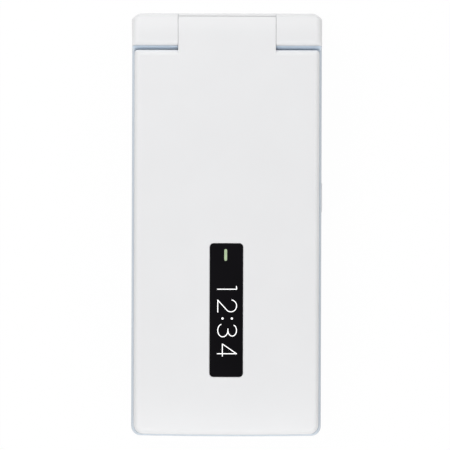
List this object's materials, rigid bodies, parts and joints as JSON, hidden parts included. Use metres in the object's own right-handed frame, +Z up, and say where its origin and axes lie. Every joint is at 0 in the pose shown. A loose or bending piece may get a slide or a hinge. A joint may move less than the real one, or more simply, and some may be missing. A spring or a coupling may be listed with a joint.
{
  "type": "flip phone",
  "caption": "Slim clamshell mobile phone, closed: flat gloss lid with a narrow black outer window, full-width hinge, keypad half with working keys, battery cover and port cover.",
  "frame": {"origin": "middle of the closed phone's footprint, on the rear face that it lies on", "axes": "+Z up from the rear face to the outer face of the lid, +Y along the phone to the hinge end, +X across to the side with the side key"},
  "size_m": [0.0512, 0.1136, 0.0168],
  "materials": {
    "white_gloss": "gloss",
    "silver_blue": "satin",
    "key_white": "gloss",
    "window_black": "polished",
    "panel_dark": "matte",
    "steel": "brushed",
    "grey_rubber": "matte",
    "circuit_board": "satin",
    "gold_contact": "polished",
    "dark_plastic": "matte",
    "flex_film": "satin",
    "lamp_green": "translucent",
    "battery_wrap": "satin"
  },
  "bodies": {
    "base": {"base_front_case": "silver_blue", "base_rear_case": "white_gloss", "hinge_cap_left": "white_gloss", "hinge_cap_right": "white_gloss", "battery": "battery_wrap", "battery_contacts": "gold_contact", "key_board": "circuit_board", "key_domes": "steel", "main_board": "circuit_board", "shield_cans": "steel", "usb_socket": "steel", "camera_module": "dark_plastic", "camera_window": "window_black", "loudspeaker": "dark_plastic", "vibration_motor": "steel", "base_screws": "steel", "hinge_shaft": "steel", "hinge_bush": "steel", "hinge_flex": "flex_film"},
    "lid": {"lid_outer_cover": "white_gloss", "lid_inner_case": "white_gloss", "main_window": "window_black", "main_display": "panel_dark", "display_chassis": "steel", "sub_window": "window_black", "sub_display": "panel_dark", "light_guide": "lamp_green", "earpiece": "dark_plastic", "earpiece_mesh": "steel", "lid_board": "circuit_board", "lid_bumpers": "grey_rubber", "lid_screws": "steel", "hinge_can": "steel", "hinge_slider": "steel", "hinge_spring": "steel"},
    "battery_cover": {"battery_cover": "white_gloss"},
    "port_cover": {"port_cover": "white_gloss"},
    "side_key": {"side_key": "white_gloss"},
    "nav_gimbal": {"nav_gimbal": "steel"},
    "nav_ring": {"nav_ring": "silver_blue"},
    "key_ok": {"key_ok": "key_white"},
    "key_call": {"key_call": "key_white"},
    "key_clear": {"key_clear": "key_white"},
    "key_end": {"key_end": "key_white"},
    "key_mail": {"key_mail": "key_white"},
    "key_web": {"key_web": "key_white"},
    "key_camera": {"key_camera": "key_white"},
    "key_menu": {"key_menu": "key_white"},
    "key_1": {"key_1": "key_white"},
    "key_2": {"key_2": "key_white"},
    "key_3": {"key_3": "key_white"},
    "key_4": {"key_4": "key_white"},
    "key_5": {"key_5": "key_white"},
    "key_6": {"key_6": "key_white"},
    "key_7": {"key_7": "key_white"},
    "key_8": {"key_8": "key_white"},
    "key_9": {"key_9": "key_white"},
    "key_star": {"key_star": "key_white"},
    "key_0": {"key_0": "key_white"},
    "key_hash": {"key_hash": "key_white"}
  },
  "joints": [
    {"name": "lid_hinge", "type": "hinge", "parent": "base", "child": "lid", "pos_m": [0, 0.0525, 0.0125], "axis": [-1, 0, 0], "range_deg": [0, 165]},
    {"name": "battery_cover_lift", "type": "slide", "parent": "base", "child": "battery_cover", "axis": [0, 0, -1], "range_m": [0, 0.012]},
    {"name": "port_cover_hinge", "type": "hinge", "parent": "base", "child": "port_cover", "pos_m": [-0.02515, 0.0349, 0.0041], "axis": [0, 0, -1], "range_deg": [0, 100]},
    {"name": "side_key_press", "type": "slide", "parent": "base", "child": "side_key", "axis": [-1, 0, 0], "range_m": [0, 0.0002], "stiffness_N_per_m": 1500},
    {"name": "nav_tilt_x", "type": "hinge", "parent": "base", "child": "nav_gimbal", "pos_m": [0, 0.0294, 0.00663], "axis": [1, 0, 0], "range_deg": [-0.8, 0.8], "stiffness_Nm_per_rad": 0.3},
    {"name": "nav_tilt_y", "type": "hinge", "parent": "nav_gimbal", "child": "nav_ring", "pos_m": [0, 0.0294, 0.00663], "axis": [0, 1, 0], "range_deg": [-0.8, 0.8], "stiffness_Nm_per_rad": 0.3},
    {"name": "key_ok_press", "type": "slide", "parent": "base", "child": "key_ok", "axis": [0, 0, -1], "range_m": [0, 0.0003], "stiffness_N_per_m": 1500},
    {"name": "key_call_press", "type": "slide", "parent": "base", "child": "key_call", "axis": [0, 0, -1], "range_m": [0, 0.0003], "stiffness_N_per_m": 1500},
    {"name": "key_clear_press", "type": "slide", "parent": "base", "child": "key_clear", "axis": [0, 0, -1], "range_m": [0, 0.0003], "stiffness_N_per_m": 1500},
    {"name": "key_end_press", "type": "slide", "parent": "base", "child": "key_end", "axis": [0, 0, -1], "range_m": [0, 0.0003], "stiffness_N_per_m": 1500},
    {"name": "key_mail_press", "type": "slide", "parent": "base", "child": "key_mail", "axis": [0, 0, -1], "range_m": [0, 0.0003], "stiffness_N_per_m": 1500},
    {"name": "key_web_press", "type": "slide", "parent": "base", "child": "key_web", "axis": [0, 0, -1], "range_m": [0, 0.0003], "stiffness_N_per_m": 1500},
    {"name": "key_camera_press", "type": "slide", "parent": "base", "child": "key_camera", "axis": [0, 0, -1], "range_m": [0, 0.0003], "stiffness_N_per_m": 1500},
    {"name": "key_menu_press", "type": "slide", "parent": "base", "child": "key_menu", "axis": [0, 0, -1], "range_m": [0, 0.0003], "stiffness_N_per_m": 1500},
    {"name": "key_1_press", "type": "slide", "parent": "base", "child": "key_1", "axis": [0, 0, -1], "range_m": [0, 0.0003], "stiffness_N_per_m": 1500},
    {"name": "key_2_press", "type": "slide", "parent": "base", "child": "key_2", "axis": [0, 0, -1], "range_m": [0, 0.0003], "stiffness_N_per_m": 1500},
    {"name": "key_3_press", "type": "slide", "parent": "base", "child": "key_3", "axis": [0, 0, -1], "range_m": [0, 0.0003], "stiffness_N_per_m": 1500},
    {"name": "key_4_press", "type": "slide", "parent": "base", "child": "key_4", "axis": [0, 0, -1], "range_m": [0, 0.0003], "stiffness_N_per_m": 1500},
    {"name": "key_5_press", "type": "slide", "parent": "base", "child": "key_5", "axis": [0, 0, -1], "range_m": [0, 0.0003], "stiffness_N_per_m": 1500},
    {"name": "key_6_press", "type": "slide", "parent": "base", "child": "key_6", "axis": [0, 0, -1], "range_m": [0, 0.0003], "stiffness_N_per_m": 1500},
    {"name": "key_7_press", "type": "slide", "parent": "base", "child": "key_7", "axis": [0, 0, -1], "range_m": [0, 0.0003], "stiffness_N_per_m": 1500},
    {"name": "key_8_press", "type": "slide", "parent": "base", "child": "key_8", "axis": [0, 0, -1], "range_m": [0, 0.0003], "stiffness_N_per_m": 1500},
    {"name": "key_9_press", "type": "slide", "parent": "base", "child": "key_9", "axis": [0, 0, -1], "range_m": [0, 0.0003], "stiffness_N_per_m": 1500},
    {"name": "key_star_press", "type": "slide", "parent": "base", "child": "key_star", "axis": [0, 0, -1], "range_m": [0, 0.0003], "stiffness_N_per_m": 1500},
    {"name": "key_0_press", "type": "slide", "parent": "base", "child": "key_0", "axis": [0, 0, -1], "range_m": [0, 0.0003], "stiffness_N_per_m": 1500},
    {"name": "key_hash_press", "type": "slide", "parent": "base", "child": "key_hash", "axis": [0, 0, -1], "range_m": [0, 0.0003], "stiffness_N_per_m": 1500}
  ]
}
